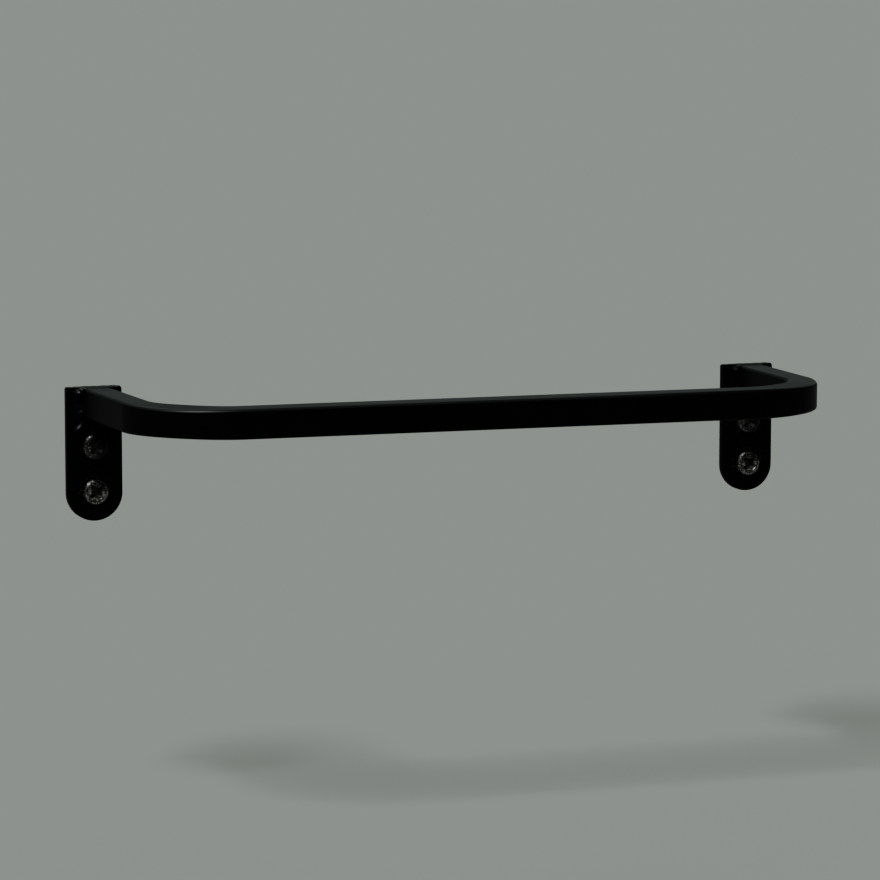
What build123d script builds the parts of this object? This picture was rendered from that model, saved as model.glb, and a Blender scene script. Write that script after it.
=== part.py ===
"""Tea towel holder: a square steel rail with both ends bent back to the wall and welded to drilled plates.

Millimetres. +X runs along the rail, +Y into the wall, +Z up. The origin lies on the wall's surface, in the
middle of the four screws.
"""
import math
import os

from build123d import *

# Rail: solid square bar
BAR = 10.5  # side of the square section
BAR_EDGE = 1.3  # rounding of the bar's long edges
REACH = 85.5  # wall to the rail's front face
BEND = 25.0  # inside radius of the two bends
SPLAY = 2.7  # degrees by which the arms spread apart towards the wall, as the bends sprang back
SPACING = 250.0  # between the middles of the two plates, where the arms end

# Plates: flat bar, square at the top and half-round below
PLATE_WIDTH = 20.0
PLATE_HEIGHT = 47.5
PLATE_THICK = 3.0
PLATE_CORNER = 0.8  # rounding of the two top corners
PLATE_EDGE = 0.3  # broken edge round the front face, apart from the top

# Screw holes in the plates
HOLE_PITCH = 16.0  # lower hole to upper hole
HOLE_ROOM = 0.7  # how much wider than the thread a hole is
HEAD_GAP = 2.75  # bare plate between the weld and the upper screw's head

# Weld between each arm and its plate
WELD_LEG = 3.0  # reach of the fillet along the plate and along the arm
CAP_LENGTH = 13.0  # low bead across the top of the joint
CAP_WIDTH = 5.0
CAP_RISE = 0.5  # how far it stands above the rail and the plate

# Screws: pan head with a cross recess
SCREW_LENGTH = 25.0  # from under the head to the point
THREAD_DIA = 4.8  # over the crests
NECK_DIA = 4.0  # plain stretch that passes through the plate
POINT_LENGTH = 6.0
POINT_DIA = 0.6  # blunt end of the point
HEAD_DIA = 9.5
HEAD_HEIGHT = 3.1
HEAD_RIM = 1.0  # upright part of the head's side
RECESS_SPAN = 6.4  # across opposite wings at the top of the head
RECESS_WING = 1.8  # width of a wing at the top of the head
RECESS_DEPTH = 2.2
RECESS_TAPER = 0.45  # size of the recess's floor as a share of its mouth
RECESS_TURNS = {"left": (38.0, 52.0), "right": (47.0, 41.0)}  # degrees: lower screw, then upper screw

# Places that several pieces share
SIDES = {"left": -1, "right": 1}
HOLE_HEIGHTS = (-HOLE_PITCH / 2, HOLE_PITCH / 2)
HOLE_DIA = THREAD_DIA + HOLE_ROOM
PLATE_FRONT = -PLATE_THICK
TOP = HOLE_HEIGHTS[1] + HEAD_DIA / 2 + HEAD_GAP + WELD_LEG + BAR  # the rail and both plates are level here
PLATE_FOOT = TOP - PLATE_HEIGHT


def plate_x(side):
    """Middle of a plate, and of the arm that ends on it."""
    return SIDES[side] * SPACING / 2


def make_rail():
    """Square bar swept along a slightly open U from wall to wall, its ends cut flush with the plates."""
    middle_z = TOP - BAR / 2
    front_y = -REACH + BAR / 2
    lean = math.tan(math.radians(SPLAY))
    end_x = SPACING / 2 - PLATE_FRONT * lean
    corner_x = end_x + front_y * lean
    path = FilletPolyline(
        (-end_x, 0, middle_z),
        (-corner_x, front_y, middle_z),
        (corner_x, front_y, middle_z),
        (end_x, 0, middle_z),
        radius=BEND + BAR / 2,
    )
    section = Plane(origin=path @ 0, x_dir=(0, 0, 1), z_dir=path % 0) * RectangleRounded(BAR, BAR, BAR_EDGE)
    return split(sweep(section, path=path), bisect_by=Plane.XZ.offset(PLATE_THICK))


def make_plate(side):
    """Drilled plate whose back lies on the wall."""
    half = PLATE_WIDTH / 2
    round_z = PLATE_FOOT + half
    outline = Polyline((-half, round_z), (-half, TOP), (half, TOP), (half, round_z))
    outline += ThreePointArc((half, round_z), (0, PLATE_FOOT), (-half, round_z))
    face = make_face(outline)
    face = fillet(face.vertices().group_by(Axis.Y)[-1], PLATE_CORNER)
    plate = extrude(Plane.XZ * face, PLATE_THICK)
    front_edges = plate.faces().sort_by(Axis.Y)[0].edges().sort_by(Axis.Z)
    plate = chamfer(front_edges[:-1], PLATE_EDGE)
    for hole_z in HOLE_HEIGHTS:
        plate -= Pos(0, PLATE_FRONT / 2, hole_z) * Rot(X=90) * Cylinder(HOLE_DIA / 2, 2 * PLATE_THICK)
    return Pos(X=plate_x(side)) * plate


def arc_radius(chord, rise):
    """Radius of the arc that rises so far above its chord."""
    return (chord**2 / 4 + rise**2) / (2 * rise)


def make_cap():
    """Low bead along X, curved both ways, whose foot lies on the plane Z = 0."""
    along = arc_radius(CAP_LENGTH, CAP_RISE)
    across = arc_radius(CAP_WIDTH, CAP_RISE)
    ring = Pos(Z=CAP_RISE - along) * Rot(X=90) * Torus(along - across, across)
    return ring & Box(CAP_LENGTH, CAP_WIDTH, CAP_RISE, align=(Align.CENTER, Align.CENTER, Align.MIN))


def make_weld(side, rail):
    """Fillet round the sides and underside of an arm, and a low bead across the top of the joint."""
    half = BAR / 2
    triangle = make_face(Polyline((0, 0), (WELD_LEG, 0), (0, WELD_LEG), close=True))
    runs = [  # where each run starts, which way it faces and which way it goes
        ((half, 0, 0), (1, 0, 0), (0, 0, -1)),
        ((half, 0, -BAR), (0, 0, -1), (-1, 0, 0)),
        ((-half, 0, -BAR), (-1, 0, 0), (0, 0, 1)),
    ]
    bead = Pos(0, -WELD_LEG / 2, -half) * Box(BAR, WELD_LEG, BAR) + make_cap()
    for start, outward, along in runs:
        bead += extrude(Plane(origin=start, x_dir=outward, z_dir=along) * triangle, BAR)
    for corner_x in (-half, half):
        point = Cone(WELD_LEG, 0, WELD_LEG, align=(Align.CENTER, Align.CENTER, Align.MIN))
        bead += Pos(corner_x, 0, -BAR) * Rot(X=90) * point
    return Pos(plate_x(side), PLATE_FRONT, TOP) * bead - rail


def make_recess():
    """Cross recess, its mouth level with the plane Z = 0: tapered wings that cross at a right angle."""
    low = (1 - RECESS_TAPER) / 2
    high = (1 + RECESS_TAPER) / 2
    wing = Wedge(
        RECESS_SPAN,
        RECESS_DEPTH,
        RECESS_WING,
        xmin=RECESS_SPAN * low,
        zmin=RECESS_WING * low,
        xmax=RECESS_SPAN * high,
        zmax=RECESS_WING * high,
    )
    wing = Pos(Z=-RECESS_DEPTH / 2) * Rot(X=-90) * wing
    return wing + Rot(Z=90) * wing


def make_screw():
    """One screw along Z: underside of the head at zero, point downwards, a wing of the recess on X."""
    crown_radius = arc_radius(HEAD_DIA, HEAD_HEIGHT - HEAD_RIM)
    profile = Polyline(
        (0, HEAD_HEIGHT),
        (0, -SCREW_LENGTH),
        (POINT_DIA / 2, -SCREW_LENGTH),
        (THREAD_DIA / 2, POINT_LENGTH - SCREW_LENGTH),
        (THREAD_DIA / 2, PLATE_FRONT),
        (NECK_DIA / 2, PLATE_FRONT),
        (NECK_DIA / 2, 0),
        (HEAD_DIA / 2, 0),
        (HEAD_DIA / 2, HEAD_RIM),
    )
    profile += RadiusArc((HEAD_DIA / 2, HEAD_RIM), (0, HEAD_HEIGHT), -crown_radius)
    screw = revolve(Plane.XZ * make_face(profile), Axis.Z)
    return screw - Pos(Z=HEAD_HEIGHT) * make_recess()


def make_screws():
    """The four screws, each seated on its plate and turned as it was driven."""
    screw = make_screw()
    screws = []
    for side, turns in RECESS_TURNS.items():
        for hole_z, turn in zip(HOLE_HEIGHTS, turns):
            seat = Pos(plate_x(side), PLATE_FRONT, hole_z)
            screws.append(seat * Rot(X=90) * Rot(Z=turn) * screw)
    return Compound(screws)


def main():
    """Write one file for each piece."""
    rail = make_rail()
    nodes = {"rail": rail, "mounting_screws": make_screws()}
    for side in SIDES:
        nodes[f"{side}_plate"] = make_plate(side)
        nodes[f"{side}_weld"] = make_weld(side, rail)
    os.makedirs("parts", exist_ok=True)
    for name, shape in nodes.items():
        export_step(shape, f"parts/{name}.step")


main()
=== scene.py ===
"""Tea towel holder, dressed: a bent black rail, two plates, their welds and four plated screws.

Metres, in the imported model's frame: +X along the rail, +Y into the wall, +Z up.
"""
import math
import random

import bmesh
import bpy
from mathutils import Matrix, Vector


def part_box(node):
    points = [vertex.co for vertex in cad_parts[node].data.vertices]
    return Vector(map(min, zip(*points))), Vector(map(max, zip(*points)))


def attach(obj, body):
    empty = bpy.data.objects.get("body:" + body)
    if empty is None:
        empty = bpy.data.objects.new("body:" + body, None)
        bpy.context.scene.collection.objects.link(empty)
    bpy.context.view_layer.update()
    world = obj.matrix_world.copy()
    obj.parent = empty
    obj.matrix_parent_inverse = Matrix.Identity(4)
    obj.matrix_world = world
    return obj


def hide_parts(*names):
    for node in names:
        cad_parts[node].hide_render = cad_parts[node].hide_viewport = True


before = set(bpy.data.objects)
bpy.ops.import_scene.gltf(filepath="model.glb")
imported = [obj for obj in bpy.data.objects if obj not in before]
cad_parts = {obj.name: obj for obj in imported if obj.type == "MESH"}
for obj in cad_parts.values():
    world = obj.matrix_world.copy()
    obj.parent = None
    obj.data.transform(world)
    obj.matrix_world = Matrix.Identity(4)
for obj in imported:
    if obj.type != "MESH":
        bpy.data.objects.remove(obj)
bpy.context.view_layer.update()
MM = 0.001

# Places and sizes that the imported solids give
rail_low, rail_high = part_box("rail")
plate_low, plate_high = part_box("left_plate")
weld_low, weld_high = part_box("left_weld")
screws_low, screws_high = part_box("mounting_screws")
SIDES = {"left": -1, "right": 1}
TOP = rail_high.z
BAR = rail_high.z - rail_low.z
PLATE_FRONT = plate_low.y
PLATE_WIDTH = plate_high.x - plate_low.x
PLATE_X = -(plate_low.x + plate_high.x) / 2
PLATE_HEIGHT = plate_high.z - plate_low.z
WELD_LEG = PLATE_FRONT - weld_low.y
HEAD_HEIGHT = PLATE_FRONT - screws_low.y
SCREW_POINT = screws_high.y
HEAD_RADIUS = screws_high.x - PLATE_X
SCREW_Z = screws_high.z - HEAD_RADIUS

# Meshes
DOUBLED = 0.001 * MM  # points closer than this are one
FLAT_ANGLE = 30  # degrees: edges sharper than this stay sharp, on the rail and the plates
SCREW_ANGLE = 35
WELD_ANGLE = 60

# Rail
BAR_EDGE = 1.3 * MM  # rounding of the bar's long edges
BAR_EDGE_STEPS = 8
BEND = 25 * MM  # inside radius of a bend
BEND_STEPS = 40
ARM_STEPS = 6
FRONT_STEPS = 18
SPLAY = math.radians(2.7)  # how far the arms spread apart towards the wall
BEND_PRESS = 0.06  # share by which bending thickens the bar's inner side and thins its outer side

# Plates
PLATE_CORNER = 0.8 * MM  # rounding of the two top corners
PLATE_CORNER_STEPS = 5
PLATE_FOOT_STEPS = 28
PLATE_EDGES = ((PLATE_FRONT, 0.35 * MM, 4), (0, 0.175 * MM, 2))  # a face's y, its rounded edge and the steps
HOLE_RADIUS = 2.75 * MM
HOLE_STEPS = 48

# Welds: a rippled fillet round three sides of an arm and a low bead across the top
RIPPLE_STEP = 1.7 * MM  # from one ripple to the next
RIPPLE_LENGTH = 2.2 * MM  # half a ripple, along the bead
RIPPLE_LEAN = 0.3
RIPPLE_END = 2.0 * MM  # from the middle of the last ripple to the top
RIPPLE_SIZES = (0.84, 1.04)  # least and most, as shares of the fillet's leg
RIPPLE_RISE = 0.78  # half a ripple's thickness and half its breadth, as shares of its size
RIPPLE_BREADTH = 1.7
CORNER_TURNS = (30, 60)  # degrees: the ripples that carry the fillet round a lower corner of the arm
CAP_RIPPLES = 4  # each side of the middle of the bead across the top
CAP_WIDTH = 2.3 * MM  # half its width
CAP_TAPER = 0.5  # how much narrower its ends are
CAP_STRAY = 0.3  # millimetres by which a ripple strays from the seam
CAP_RISE = weld_high.z - TOP
CAP_RISES = (0.7, 0.93)  # least and most, as shares of the highest rise
SINK = 0.15 * MM  # how deep a bead's foot lies in the steel under it
WELD_GRAIN = 0.2 * MM
WELD_SMOOTHING = {"factor": 0.5, "iterations": 6}
BALL_SEGMENTS = 24
BALL_RINGS = 16

# Lumps of weld, in millimetres from the seam: x, y, z and radius
BEAD_TAIL = ((6.8, -0.6, -0.45, 1.6), (8.6, -0.2, -0.2, 1.0))
TAIL_SHAPE = (1, 0.8, 0.55)  # a lump's stretch along the bead, outwards and across
ROOT_LUMPS = ((-6.2, -1.0, -1.6, 1.5), (-5.8, -2.7, -1.9, 1.9), (-5.0, -3.6, -0.7, 1.3))
ROOT_SHAPE = (1, 1, 0.75)
DRIPS = {
    "left": ((-5.9, -0.7, -14.4, 2.2), (-4.9, -1.4, -12.4, 1.0)),
    "right": ((7.4, -0.3, -9.5, 1.2),),
}
DRIP_SHAPE = (1.1, 0.9, 0.6)
DRIP_SLANT = (1, 0, 1)

# Screws
NECK_RADIUS = 2.0 * MM
CREST_RADIUS = 2.4 * MM
CORE_RADIUS = 1.65 * MM
POINT_LENGTH = 6 * MM
POINT_RADIUS = 0.3 * MM
THREAD_PITCH = 1.9 * MM
THREAD_START = 0.3 * MM
THREAD_DOUBLED = 0.005 * MM
RIDGE_CREST = 0.15  # breadth of the thread's crest and of its foot, as shares of its height
RIDGE_FOOT = 1.5
HEAD_RIM = 1.0 * MM  # upright part of the head's side
RIM_EDGE = 0.25 * MM  # rounding under it
RIM_STEPS = 4
CROWN_STEPS = 14
ROUND_STEPS = 64
RECESS_SPAN = 6.4 * MM
RECESS_WING = 1.8 * MM
RECESS_CORE = 3.2 * MM
RECESS_DEPTH = 2.2 * MM
RECESS_TAPER = 0.45  # size of the recess's floor as a share of its mouth
RECESS_TURNS = {"left_lower": 38, "left_upper": 52, "right_lower": 47, "right_upper": 41}  # degrees

# Paint
BLACK = (0.0012, 0.0018, 0.0018, 1)
WEATHERED_BLACK = (0.0024, 0.0034, 0.0034, 1)
SCUFFED = (0.025, 0.025, 0.023, 1)
CLOUD_GRAIN = 22 * MM
PEEL_GRAIN = 1.6 * MM
PEEL_DEPTH = 0.02 * MM
DUST_GRAIN = 0.35 * MM
DUST_DEPTH = 0.006 * MM
PAINT_BUMP = 0.5
RUBBED_ROUGHNESS = 0.43
EDGE_STARTS = (0.15, 0.4)  # how far a rubbed edge's surface looks upwards: from here up to EDGE_STOPS
EDGE_STOPS = (0.93, 0.998)
RUBBED_FADE = 20 * MM  # how gradually the rubbing ends towards the wall
RIGHT_FADE = (20 * MM, 110 * MM)  # where it weakens along the rail, and by how much
RIGHT_LOSS = 0.8
SCUFF_INSIDE = (4.6 * MM, 5.2 * MM)  # scuffed ring round a screw's head, from its axis
SCUFF_OUTSIDE = (5.4 * MM, 6.6 * MM)
SCUFF_LEVELS = (0.72, 0.85)
BURNT = (-16 * MM, -5 * MM)  # the arms' ends, dulled by the welding
BURNT_LEVELS = (0.3, 0.6)

# Zinc plating
DULL_DARK = (0.012, 0.012, 0.011, 1)
DULL_PALE = (0.055, 0.055, 0.051, 1)
WORN_BRIGHT = (0.34, 0.34, 0.32, 1)
CLEAN_ZINC = (0.42, 0.42, 0.40, 1)
# Painted shade: the colour that the arms' shadow gives the upper heads
ARM_SHADE_BLACK = (0.003, 0.003, 0.003, 1)
# Dirt and painted shade: the near-black colour of the recess
RECESS_DIRT_AND_SHADE = (0.004, 0.004, 0.004, 1)
BLOTCH_GRAIN = 1.1 * MM
BLOTCH_ROUGHNESS = 0.65
PIT_GRAIN = 0.22 * MM
PIT_DEPTH = 0.02 * MM
PIT_BUMP = 0.7
PLATING_GLOSS = 0.24
SPANGLE = 0.75 * MM
SPANGLE_STRAY = 0.6
WORN_LEVELS = (0.5, 0.85)
WALL_FADE = 0.3 * MM  # how gradually the head's dull plating gives way to the clean shank
RIM_DIRT = (3.9 * MM, 4.7 * MM)  # dirty ring along a head's rim
ARM_SHADE_SIDE = (-2.5 * MM, 2.0 * MM)  # painted shade of the arm: from left to right across an upper head, darker towards its right
RECESS_RIM = (2.7 * MM, 3.1 * MM)  # where the dirt and painted shade in the recess end, from the axis
RECESS_SHADE = (0.1 * MM, 0.5 * MM)  # how far below the crown it sets in
RECESS_FLOOR = (PLATE_FRONT - 0.8 * MM, PLATE_FRONT - 0.4 * MM)

# Camera and stage
CAMERA_TARGET = Vector((4.60, 0, 4.83)) * MM
CAMERA_YAW = 0.3343
CAMERA_PITCH = 0.1217
CAMERA_ROLL = 0.0012
CAMERA_DISTANCE = 1353.8 * MM
CAMERA_LENS = 152.2
CAMERA_SENSOR = 36
FLOOR_Z = -0.12
FLOOR_SIZE = 160
FLOOR_COLOUR = (0.60, 0.64, 0.59, 1)
ROOM_COLOUR = (0.95, 1.0, 0.97, 1)
ROOM_STRENGTH = 0.05


class Value:
    """A socket of a finish. Arithmetic on it adds Math nodes."""

    def __init__(self, finish, socket):
        self.finish = finish
        self.socket = socket

    def math(self, operation, first, second):
        return self.finish.node("ShaderNodeMath", {"operation": operation}, {0: first, 1: second})

    def __add__(self, other):
        return self.math("ADD", self, other)

    def __sub__(self, other):
        return self.math("SUBTRACT", self, other)

    def __rsub__(self, other):
        return self.math("SUBTRACT", other, self)

    def __mul__(self, other):
        return self.math("MULTIPLY", self, other)

    def __truediv__(self, other):
        return self.math("DIVIDE", self, other)

    def __pow__(self, other):
        return self.math("POWER", self, other)

    def __abs__(self):
        return self.math("ABSOLUTE", self, 0.0)

    __radd__ = __add__
    __rmul__ = __mul__


class Finish:
    """A procedural material built round one Principled shader."""

    def __init__(self, name, constants):
        self.material = bpy.data.materials.new(name)
        self.material.use_nodes = True
        self.tree = self.material.node_tree
        self.shader = self.tree.nodes["Principled BSDF"]
        for socket, value in constants.items():
            self.shader.inputs[socket].default_value = value
        self.place = self.node("ShaderNodeTexCoord", output="Object")

    def node(self, kind, settings={}, sockets={}, output=0):
        """Adds one node, its settings first and then the values or links of its sockets."""
        made = self.tree.nodes.new(kind)
        for name, value in settings.items():
            setattr(made, name, value)
        for name, value in sockets.items():
            if isinstance(value, Value):
                self.tree.links.new(value.socket, made.inputs[name])
            else:
                made.inputs[name].default_value = value
        return Value(self, made.outputs[output])

    def noise(self, grain, detail, roughness=0.5):
        """Noise from 0 to 1 whose grains are about that many metres across."""
        sockets = {"Vector": self.place, "Scale": 1 / grain, "Detail": detail, "Roughness": roughness}
        return self.node("ShaderNodeTexNoise", {}, sockets)

    def step(self, value, low, high):
        """0 below low, 1 above high, and a smooth rise between them."""
        sockets = {"Value": value, "From Min": low, "From Max": high}
        return self.node("ShaderNodeMapRange", {"interpolation_type": "SMOOTHSTEP"}, sockets)

    def mix(self, factor, first, second):
        """From the first colour to the second."""
        return self.node("ShaderNodeMix", {"data_type": "RGBA"}, {0: factor, 6: first, 7: second}, output=2)

    def axes(self, vector):
        """X, Y and Z of a vector."""
        split = self.node("ShaderNodeSeparateXYZ", {}, {0: vector})
        return [Value(self, socket) for socket in split.socket.node.outputs]

    def from_screw(self):
        """Distance from the axis of the nearest screw."""
        x, _, z = self.axes(self.place)
        return ((abs(x) - PLATE_X) ** 2 + (abs(z) - SCREW_Z) ** 2) ** 0.5

    def bump(self, height, depth, strength, under=None):
        """A normal pushed by that height, where 1 is so many metres deep."""
        sockets = {"Height": height, "Distance": depth, "Strength": strength}
        if under:
            sockets["Normal"] = under
        return self.node("ShaderNodeBump", {}, sockets)

    def feed(self, socket, value):
        self.tree.links.new(value.socket, self.shader.inputs[socket])


def paint_finish(name, gloss, shine, rubbed):
    """Satin black paint with a faint orange peel and a cloudy sheen, rubbed shiny along the upper edges."""
    finish = Finish(name, {"Specular IOR Level": shine, "Coat Roughness": RUBBED_ROUGHNESS})
    cloud = finish.noise(CLOUD_GRAIN, detail=3)
    dust = finish.noise(DUST_GRAIN, detail=3)
    peel = finish.noise(PEEL_GRAIN, detail=1)
    x, y, _ = finish.axes(finish.place)
    from_screw = finish.from_screw()
    round_head = finish.step(from_screw, *SCUFF_INSIDE) * (1 - finish.step(from_screw, *SCUFF_OUTSIDE))
    scuff = finish.step(peel + 0.3 * dust, *SCUFF_LEVELS) * round_head
    finish.feed("Base Color", finish.mix(scuff, finish.mix(cloud, BLACK, WEATHERED_BLACK), SCUFFED))
    _, _, upwards = finish.axes(finish.node("ShaderNodeNewGeometry", output="Normal"))
    edge = finish.step(upwards, *EDGE_STARTS) * (1 - finish.step(upwards, *EDGE_STOPS))
    handled = 1 - finish.step(y, rubbed - RUBBED_FADE, rubbed)
    finish.feed("Coat Weight", edge * handled * (1 - RIGHT_LOSS * finish.step(x, *RIGHT_FADE)))
    burnt = finish.step(y, *BURNT) * finish.step(peel, *BURNT_LEVELS)
    finish.feed("Roughness", gloss + 0.08 * cloud + 0.05 * dust + 0.12 * burnt)
    peel_normal = finish.bump(peel, PEEL_DEPTH, PAINT_BUMP)
    finish.feed("Normal", finish.bump(dust, DUST_DEPTH, PAINT_BUMP, under=peel_normal))
    return finish.material


def plating_finish():
    """Dull zinc plating: dark and blotchy, speckled where it is worn bright, with dirt and painted shade in
    the recess, and painted shade of the arms on the upper heads, darkest on their right.
    """
    finish = Finish("zinc_plating", {})
    x, y, z = finish.axes(finish.place)
    from_axis = finish.from_screw()
    blotch = finish.noise(BLOTCH_GRAIN, detail=4, roughness=BLOTCH_ROUGHNESS)
    pits = finish.noise(PIT_GRAIN, detail=2)
    sockets = {"Vector": finish.place, "Scale": 1 / SPANGLE, "Randomness": SPANGLE_STRAY}
    spangle = finish.node("ShaderNodeTexVoronoi", {}, sockets)
    in_wall = finish.step(y, PLATE_FRONT - WALL_FADE, PLATE_FRONT + WALL_FADE)
    # Painted shade: the upper heads, under the arms, get fewer bright specks and a darker colour, most of
    # all on their right, where the arms' shadow falls. The ring along the rim is dirt.
    upper = finish.step(z, -SCREW_Z, SCREW_Z) * (1 - in_wall)
    plate_side = finish.node("ShaderNodeMath", {"operation": "SIGN"}, {0: x})
    painted_arm_shade = upper * finish.step(x - PLATE_X * plate_side, *ARM_SHADE_SIDE)
    dirt_and_painted_shade = 0.25 * finish.step(from_axis, *RIM_DIRT) + 0.15 * upper + 0.3 * painted_arm_shade
    worn = 1 - finish.step(spangle + 0.5 * blotch + dirt_and_painted_shade, *WORN_LEVELS)
    crown = (HEAD_HEIGHT - HEAD_RIM) * (1 - (1 - (from_axis / HEAD_RADIUS) ** 2) ** 0.5)
    below_crown = y - (PLATE_FRONT - HEAD_HEIGHT) - crown
    # Dirt and painted shade in the recess: darker colour, rougher and less metallic
    recess = finish.step(below_crown, *RECESS_SHADE) * (1 - finish.step(from_axis, *RECESS_RIM))
    recess *= 1 - finish.step(y, *RECESS_FLOOR)
    # Painted shade: the dull plating turns nearly black where the arms' shadow falls on the upper heads
    dull = finish.mix(0.85 * painted_arm_shade, finish.mix(blotch, DULL_DARK, DULL_PALE), ARM_SHADE_BLACK)
    head = finish.mix(worn, dull, WORN_BRIGHT)
    zinc = finish.mix(in_wall * (0.9 - 0.6 * blotch), head, CLEAN_ZINC)
    # the recess takes its dirt and painted shade
    finish.feed("Base Color", finish.mix(recess, zinc, RECESS_DIRT_AND_SHADE))
    finish.feed("Roughness", PLATING_GLOSS + 0.2 * blotch + 0.3 * recess)
    finish.feed("Metallic", 1 - 0.9 * recess)
    finish.feed("Normal", finish.bump(pits, PIT_DEPTH, PIT_BUMP))
    return finish.material


def open_piece(name):
    """Names the primitive just added, settles its place in its mesh and opens it for editing."""
    piece = bpy.context.object
    piece.name = name
    piece.data.name = name
    bpy.ops.object.transform_apply(location=True, rotation=True, scale=True)
    bpy.ops.object.mode_set(mode="EDIT")
    return piece


def pick(piece, kind, test):
    """In edit mode, selects only the vertices, edges or faces that pass the test."""
    bpy.ops.mesh.select_mode(type=kind)
    bpy.ops.mesh.select_all(action="DESELECT")
    mesh = bmesh.from_edit_mesh(piece.data)
    for part in {"VERT": mesh.verts, "EDGE": mesh.edges, "FACE": mesh.faces}[kind]:
        part.select_set(test(part))
    bmesh.update_edit_mesh(piece.data)


def close_piece(piece, smooth_angle, doubled=DOUBLED):
    """Merges doubled points, closes open ends, turns the faces outwards and shades the result."""
    bpy.ops.mesh.select_mode(type="EDGE")
    bpy.ops.mesh.select_all(action="SELECT")
    bpy.ops.mesh.remove_doubles(threshold=doubled)
    bpy.ops.mesh.select_all(action="DESELECT")
    bpy.ops.mesh.select_non_manifold()
    bpy.ops.mesh.fill_holes(sides=0)
    bpy.ops.mesh.select_all(action="SELECT")
    bpy.ops.mesh.normals_make_consistent(inside=False)
    bpy.ops.object.mode_set(mode="OBJECT")
    shade(piece, smooth_angle)


def pick_object(piece):
    """Selects one object and makes it the active one."""
    bpy.ops.object.select_all(action="DESELECT")
    piece.select_set(True)
    bpy.context.view_layer.objects.active = piece


def shade(piece, smooth_angle):
    """Smooth shading, apart from edges sharper than the angle."""
    pick_object(piece)
    bpy.ops.object.shade_smooth_by_angle(angle=math.radians(smooth_angle))


def apply(piece, kind, settings):
    """Adds a modifier to a piece and applies it."""
    modifier = piece.modifiers.new(kind, kind)
    for name, value in settings.items():
        setattr(modifier, name, value)
    bpy.context.view_layer.objects.active = piece
    bpy.ops.object.modifier_apply(modifier=modifier.name)


def cut(piece, tool):
    """Takes the tool's shape out of a piece."""
    apply(piece, "BOOLEAN", {"operation": "DIFFERENCE", "solver": "EXACT", "object": tool})
    bpy.data.objects.remove(tool)


def hand_over(piece, material, node):
    """Gives a finished piece its material and its place in the frame."""
    piece.data.materials.clear()
    piece.data.materials.append(material)
    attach(piece, "root")
    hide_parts(node)


def extrude(move, steps):
    """Extrudes the selected edges along a straight line."""
    for _ in range(steps):
        bpy.ops.mesh.extrude_edges_move(TRANSFORM_OT_translate={"value": Vector(move) / steps})


def make_rail(material):
    """A rounded square section drawn along an arm, round a bend, along the rail and back to the wall."""
    middle_z = TOP - BAR / 2
    front_y = rail_low.y + BAR / 2
    turn = BEND + BAR / 2
    angle = math.pi / 2 - SPLAY
    end_x = PLATE_X - PLATE_FRONT * math.tan(SPLAY)
    bend_x = end_x + front_y * math.tan(SPLAY) - turn * math.tan(angle / 2)
    bend_y = front_y + turn
    arm = -front_y / math.cos(SPLAY) - turn * math.tan(angle / 2)
    bpy.ops.mesh.primitive_plane_add(
        size=BAR, location=(-end_x, 0, middle_z), rotation=(math.pi / 2, 0, SPLAY)
    )
    rail = open_piece("rail_bar")
    bpy.ops.mesh.bevel(offset=BAR_EDGE, segments=BAR_EDGE_STEPS, affect="VERTICES")
    bpy.ops.mesh.delete(type="ONLY_FACE")
    bpy.ops.mesh.select_mode(type="EDGE")
    bpy.ops.mesh.select_all(action="SELECT")
    extrude((arm * math.sin(SPLAY), -arm * math.cos(SPLAY), 0), ARM_STEPS)
    for side in SIDES.values():
        bpy.ops.mesh.spin(
            steps=BEND_STEPS, angle=-angle, center=(side * bend_x, bend_y, middle_z), axis=(0, 0, 1)
        )
        if side < 0:
            extrude((2 * bend_x, 0, 0), FRONT_STEPS)
    extrude((arm * math.sin(SPLAY), arm * math.cos(SPLAY), 0), ARM_STEPS)
    bpy.ops.mesh.select_all(action="SELECT")
    bpy.ops.mesh.bisect(plane_co=(0, PLATE_FRONT, 0), plane_no=(0, 1, 0), clear_outer=True)
    close_piece(rail, FLAT_ANGLE)
    for vertex in rail.data.vertices:
        press_in_bend(vertex, Vector((bend_x, bend_y, middle_z)), turn)
    apply(rail, "WEIGHTED_NORMAL", {"keep_sharp": True})
    hand_over(rail, material, "rail")


def press_in_bend(vertex, middle, turn):
    """Bending swells the bar's inner side and thins its outer side, most of all half-way round."""
    across = abs(vertex.co.x) - middle.x
    along = middle.y - vertex.co.y
    if across > 0 and along > 0:
        out = (math.hypot(across, along) - turn) / (BAR / 2)
        half_way = math.sin(2 * math.atan2(across, along)) ** 2
        vertex.co.z = middle.z + (vertex.co.z - middle.z) * (1 - BEND_PRESS * out * half_way)


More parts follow.
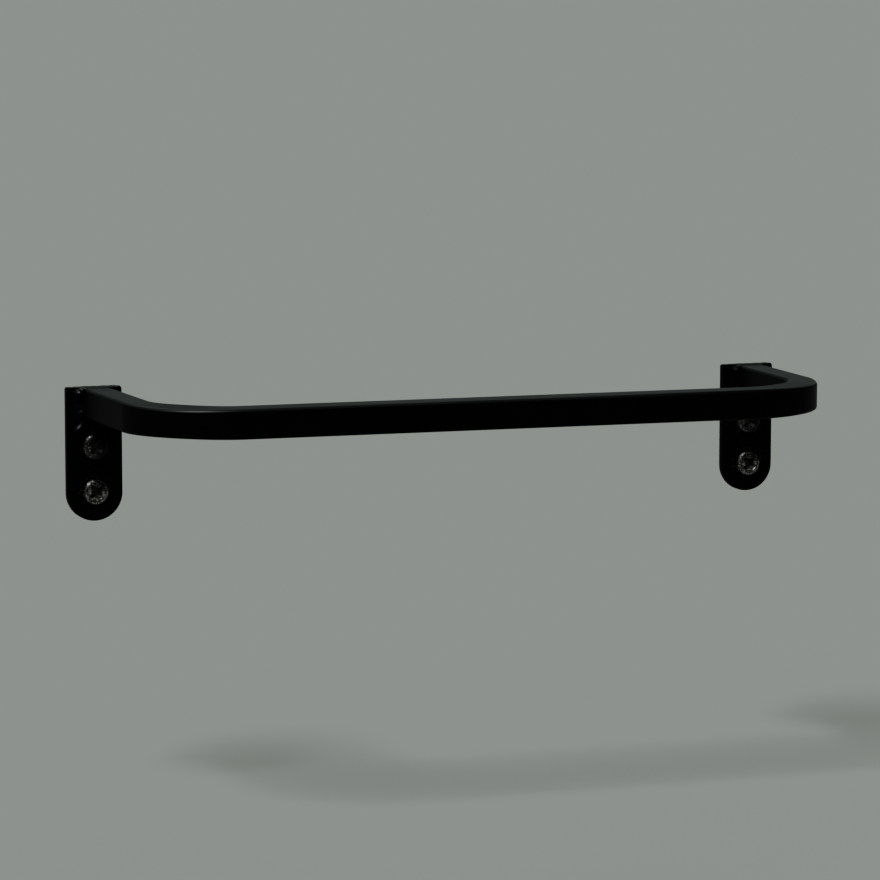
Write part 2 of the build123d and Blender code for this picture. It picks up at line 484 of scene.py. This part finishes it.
def make_plate(side, material):
    """A drilled flat plate with a half-round foot and softened edges."""
    middle = Vector((SIDES[side] * PLATE_X, 0, TOP - PLATE_HEIGHT / 2))
    bpy.ops.mesh.primitive_plane_add(size=PLATE_WIDTH, location=middle, rotation=(math.pi / 2, 0, 0))
    plate = open_piece(f"{side}_drilled_plate")
    bpy.ops.transform.resize(value=(1, 1, PLATE_HEIGHT / PLATE_WIDTH), center_override=middle)
    pick(plate, "VERT", lambda vertex: vertex.co.z < middle.z)
    bpy.ops.mesh.bevel(
        offset=PLATE_WIDTH / 2, segments=PLATE_FOOT_STEPS, affect="VERTICES", clamp_overlap=False
    )
    pick(plate, "VERT", lambda vertex: vertex.co.z > TOP - PLATE_CORNER)
    bpy.ops.mesh.bevel(offset=PLATE_CORNER, segments=PLATE_CORNER_STEPS, affect="VERTICES")
    bpy.ops.mesh.select_all(action="SELECT")
    bpy.ops.mesh.remove_doubles(threshold=DOUBLED)
    bpy.ops.mesh.extrude_region_move(TRANSFORM_OT_translate={"value": (0, PLATE_FRONT, 0)})
    for face_y, edge, steps in PLATE_EDGES:
        pick(plate, "EDGE", lambda rim: all(abs(vertex.co.y - face_y) < SINK for vertex in rim.verts))
        bpy.ops.mesh.bevel(offset=edge, segments=steps, affect="EDGES")
    close_piece(plate, FLAT_ANGLE)
    for height in (-SCREW_Z, SCREW_Z):
        bpy.ops.mesh.primitive_cylinder_add(
            vertices=HOLE_STEPS,
            radius=HOLE_RADIUS,
            depth=-4 * PLATE_FRONT,
            location=(middle.x, 0, height),
            rotation=(math.pi / 2, 0, 0),
        )
        cut(plate, bpy.context.object)
    shade(plate, FLAT_ANGLE)
    apply(plate, "WEIGHTED_NORMAL", {"keep_sharp": True})
    hand_over(plate, material, f"{side}_plate")


def lump(place, radii, along=(1, 0, 0), outward=(0, 1, 0)):
    """A ball stretched along the bead, outwards, and across both."""
    bpy.ops.mesh.primitive_uv_sphere_add(segments=BALL_SEGMENTS, ring_count=BALL_RINGS, radius=1)
    ball = bpy.context.object
    along = Vector(along).normalized()
    across = along.cross(Vector(outward)).normalized()
    turn = Matrix((along, across.cross(along), across)).transposed().to_4x4()
    ball.matrix_world = Matrix.Translation(place) @ turn @ Matrix.Diagonal((*radii, 1))
    return ball


def lay_lumps(seam, lumps, shape, along=(1, 0, 0)):
    """Lumps at their places from the seam, all stretched the same way."""
    balls = []
    for x, y, z, radius in lumps:
        radii = [stretch * radius * MM for stretch in shape]
        balls.append(lump(seam + Vector((x, y, z)) * MM, radii, along))
    return balls


def lay_fillet(corner, along, length, chance):
    """Ripples of a fillet that runs from a corner of the arm, along one of its sides."""
    forward = Vector((0, -1, 0))
    face = along.cross(forward) + forward
    ripples = []
    for step in range(round(length / RIPPLE_STEP) + 1):
        size = WELD_LEG * chance.uniform(*RIPPLE_SIZES)
        place = corner + along * min(max(step * RIPPLE_STEP, RIPPLE_END), length)
        radii = (RIPPLE_LENGTH, RIPPLE_RISE * size, RIPPLE_BREADTH * size)
        ripples.append(lump(place, radii, along + RIPPLE_LEAN * face, face))
    return ripples


def lay_cap(seam, chance):
    """Ripples of the low bead across the top, narrower towards its ends."""
    ripples = []
    for step in range(-CAP_RIPPLES, CAP_RIPPLES + 1):
        taper = 1 - CAP_TAPER * (step / CAP_RIPPLES) ** 4
        place = seam + Vector((step * RIPPLE_STEP, chance.uniform(-CAP_STRAY, CAP_STRAY) * MM, 0))
        rise = CAP_RISE * chance.uniform(*CAP_RISES)
        ripples.append(lump(place, (RIPPLE_LENGTH, CAP_WIDTH * taper, rise)))
    return ripples


def fuse(balls, name):
    """Runs overlapping balls together into one soft skin."""
    bpy.ops.object.select_all(action="DESELECT")
    for ball in balls:
        ball.select_set(True)
    bpy.context.view_layer.objects.active = balls[0]
    bpy.ops.object.join()
    bead = open_piece(name)
    bpy.ops.object.mode_set(mode="OBJECT")
    apply(bead, "REMESH", {"mode": "VOXEL", "voxel_size": WELD_GRAIN})
    apply(bead, "SMOOTH", WELD_SMOOTHING)
    return bead


def make_weld(side, material):
    """A rippled fillet round three sides of an arm and a low bead across the top, run into each other."""
    chance = random.Random(SIDES[side])
    seam = Vector((SIDES[side] * PLATE_X, PLATE_FRONT, TOP))
    half = BAR / 2
    corners = [seam + Vector((x, 0, z)) for x, z in ((-half, 0), (-half, -BAR), (half, -BAR))]
    balls = []
    for corner, turn in zip(corners, (-90, 0, 90)):
        along = Vector((math.cos(math.radians(turn)), 0, math.sin(math.radians(turn))))
        balls += lay_fillet(corner, along, BAR - (RIPPLE_END if turn == 90 else 0), chance)
        for back in CORNER_TURNS:
            before = math.radians(turn - back)
            if turn > -90:
                balls += lay_fillet(corner, Vector((math.cos(before), 0, math.sin(before))), 0, chance)
    balls += lay_cap(seam, chance)
    balls += lay_lumps(seam, BEAD_TAIL, TAIL_SHAPE)
    balls += lay_lumps(seam, ROOT_LUMPS, ROOT_SHAPE)
    balls += lay_lumps(seam, DRIPS[side], DRIP_SHAPE, DRIP_SLANT)
    weld = fuse(balls, f"{side}_weld_bead")
    bpy.ops.mesh.primitive_cube_add(
        size=1, location=seam - Vector((0, half, half)), scale=(BAR - 2 * SINK, 2 * BAR, BAR - 2 * SINK)
    )
    cut(weld, bpy.context.object)
    bpy.ops.mesh.primitive_cube_add(
        size=4 * BAR, location=seam + Vector((0, 2 * BAR + SINK, -2 * BAR - SINK))
    )
    cut(weld, bpy.context.object)
    shade(weld, WELD_ANGLE)
    hand_over(weld, material, f"{side}_weld")


def turn_shank():
    """The screw's body without its thread, drawn out ring by ring from the point to the crown."""
    rings = [
        (SCREW_POINT, POINT_RADIUS),
        (SCREW_POINT - POINT_LENGTH, CORE_RADIUS),
        (THREAD_START, CORE_RADIUS),
        (0, NECK_RADIUS),
        (PLATE_FRONT, NECK_RADIUS),
        (PLATE_FRONT, HEAD_RADIUS - RIM_EDGE),
    ]
    for step in range(1, RIM_STEPS + 1):
        angle = math.pi / 2 * step / RIM_STEPS
        rise = RIM_EDGE * (1 - math.cos(angle))
        rings.append((PLATE_FRONT - rise, HEAD_RADIUS - RIM_EDGE * (1 - math.sin(angle))))
    for step in range(CROWN_STEPS):
        angle = math.pi / 2 * step / CROWN_STEPS
        rise = HEAD_RIM + (HEAD_HEIGHT - HEAD_RIM) * math.sin(angle)
        rings.append((PLATE_FRONT - rise, HEAD_RADIUS * math.cos(angle)))
    y, radius = rings[0]
    bpy.ops.mesh.primitive_circle_add(
        vertices=ROUND_STEPS,
        radius=radius,
        fill_type="NGON",
        location=(0, y, 0),
        rotation=(math.pi / 2, 0, 0),
    )
    shank = open_piece("screw")
    for next_y, next_radius in rings[1:]:
        bpy.ops.mesh.extrude_region_move(TRANSFORM_OT_translate={"value": (0, next_y - y, 0)})
        grow = next_radius / radius
        bpy.ops.transform.resize(value=(grow, 1, grow), center_override=(0, next_y, 0))
        y, radius = next_y, next_radius
    close_piece(shank, SCREW_ANGLE)
    return shank


def cut_recess(shank):
    """Cuts the two tapered wings of the cross and the wider middle into the head."""
    middle = Vector((0, PLATE_FRONT - HEAD_HEIGHT + RECESS_DEPTH / 2, 0))
    for size_x, size_z in (
        (RECESS_SPAN, RECESS_WING),
        (RECESS_WING, RECESS_SPAN),
        (RECESS_CORE, RECESS_CORE),
    ):
        bpy.ops.mesh.primitive_cube_add(size=1, location=middle, scale=(size_x, RECESS_DEPTH, size_z))
        wing = open_piece("wing")
        pick(wing, "FACE", lambda face: face.normal.y > 0.5)
        bpy.ops.transform.resize(value=(RECESS_TAPER, 1, RECESS_TAPER), center_override=middle)
        bpy.ops.object.mode_set(mode="OBJECT")
        cut(shank, wing)


def wind_thread():
    """A sharp ridge wound round the core, rising from it at the start and running down to the point."""
    foot = CORE_RADIUS - SINK
    start = (0, THREAD_START, 0)
    middle = ((CREST_RADIUS + foot) / 2, THREAD_START, 0)
    bpy.ops.mesh.primitive_plane_add(size=CREST_RADIUS - foot, location=middle)
    ridge = open_piece("ridge")
    pick(ridge, "VERT", lambda vertex: vertex.co.x > CORE_RADIUS)
    bpy.ops.transform.resize(value=(1, RIDGE_CREST, 1), center_override=start)
    pick(ridge, "VERT", lambda vertex: vertex.co.x < CORE_RADIUS)
    bpy.ops.transform.resize(value=(1, RIDGE_FOOT, 1), center_override=start)
    bpy.ops.object.mode_set(mode="OBJECT")
    turns = int((SCREW_POINT - THREAD_START - THREAD_PITCH / 2) / THREAD_PITCH)
    settings = {"axis": "Y", "screw_offset": THREAD_PITCH, "iterations": turns, "use_merge_vertices": True}
    apply(ridge, "SCREW", settings | {"steps": ROUND_STEPS // 2, "render_steps": ROUND_STEPS // 2})
    bpy.ops.object.mode_set(mode="EDIT")
    close_piece(ridge, SCREW_ANGLE)
    for vertex in ridge.data.vertices:
        fit_ridge(vertex, foot)
    return ridge


def fit_ridge(vertex, foot):
    """Lowers the thread's ridge at its start, and along the point."""
    radius = math.hypot(vertex.co.x, vertex.co.z)
    left = (SCREW_POINT - vertex.co.y) / POINT_LENGTH
    begun = (vertex.co.y - THREAD_START) / THREAD_PITCH
    wanted = foot + (radius - foot) * min(max(begun, 0), 1)
    if left < 1:
        wanted = POINT_RADIUS + (wanted - POINT_RADIUS) * max(left, 0)
    vertex.co.x *= wanted / radius
    vertex.co.z *= wanted / radius


def make_screws(material):
    """One screw, copied to its four holes and turned as each was driven."""
    shank = turn_shank()
    cut_recess(shank)
    shade(shank, SCREW_ANGLE)
    ridge = wind_thread()
    apply(shank, "BOOLEAN", {"operation": "UNION", "solver": "EXACT", "use_self": True, "object": ridge})
    bpy.data.objects.remove(ridge)
    bpy.ops.object.mode_set(mode="EDIT")
    close_piece(shank, SCREW_ANGLE, doubled=THREAD_DOUBLED)
    for place, turn in RECESS_TURNS.items():
        side, level = place.split("_")
        pick_object(shank)
        bpy.ops.object.duplicate()
        screw = bpy.context.object
        screw.rotation_euler.y = -math.radians(turn)
        screw.location = (SIDES[side] * PLATE_X, 0, SCREW_Z if level == "upper" else -SCREW_Z)
        open_piece(f"{place}_screw")
        bpy.ops.object.mode_set(mode="OBJECT")
        hand_over(screw, material, "mounting_screws")
    bpy.data.objects.remove(shank)


def add_camera():
    """The photograph's view."""
    data = bpy.data.cameras.new("camera")
    data.lens = CAMERA_LENS
    data.sensor_width = CAMERA_SENSOR
    camera = bpy.data.objects.new("camera", data)
    bpy.context.scene.collection.objects.link(camera)
    camera.rotation_euler = (math.pi / 2 - CAMERA_PITCH, 0, -CAMERA_YAW)
    camera.rotation_euler.rotate_axis("Z", CAMERA_ROLL)
    ahead = camera.rotation_euler.to_matrix() @ Vector((0, 0, -1))
    camera.location = CAMERA_TARGET - ahead * CAMERA_DISTANCE
    data.clip_end = FLOOR_SIZE
    bpy.context.scene.camera = camera


def add_stage():
    """A wide pale floor under soft light from the upper left."""
    bpy.ops.object.select_all(action="DESELECT")
    bpy.ops.mesh.primitive_plane_add(size=FLOOR_SIZE, location=(0, 0, FLOOR_Z))
    floor = bpy.context.object
    floor.name = "floor"
    pale = Finish("pale_floor", {"Base Color": FLOOR_COLOUR, "Roughness": 1.0, "Specular IOR Level": 0.0})
    floor.data.materials.append(pale.material)
    world = bpy.data.worlds.new("studio")
    bpy.context.scene.world = world
    world.use_nodes = True
    room = world.node_tree.nodes["Background"].inputs
    room["Color"].default_value = ROOM_COLOUR
    room["Strength"].default_value = ROOM_STRENGTH
    add_sun("key", energy=1.4, spread=20, turn=(38, 0, -50), colour=(1, 1, 1))
    add_sun("back", energy=0.5, spread=70, turn=(-60, 0, -12), colour=(0.86, 1, 0.95))


def add_sun(name, energy, spread, turn, colour):
    """A soft far light, turned from shining straight down; spread and turn are in degrees."""
    data = bpy.data.lights.new(name, "SUN")
    data.energy = energy
    data.color = colour
    data.angle = math.radians(spread)
    lamp = bpy.data.objects.new(name, data)
    bpy.context.scene.collection.objects.link(lamp)
    lamp.rotation_euler = [math.radians(angle) for angle in turn]


def main():
    """Builds every piece, then the view and the stage."""
    bpy.ops.object.select_all(action="DESELECT")
    paint = paint_finish("black_paint", gloss=0.38, shine=0.016, rubbed=-52 * MM)
    weld_paint = paint_finish("weld_paint", gloss=0.30, shine=0.03, rubbed=20 * MM)
    plating = plating_finish()
    make_rail(paint)
    for side in SIDES:
        make_plate(side, paint)
        make_weld(side, weld_paint)
    make_screws(plating)
    add_camera()
    add_stage()


main()
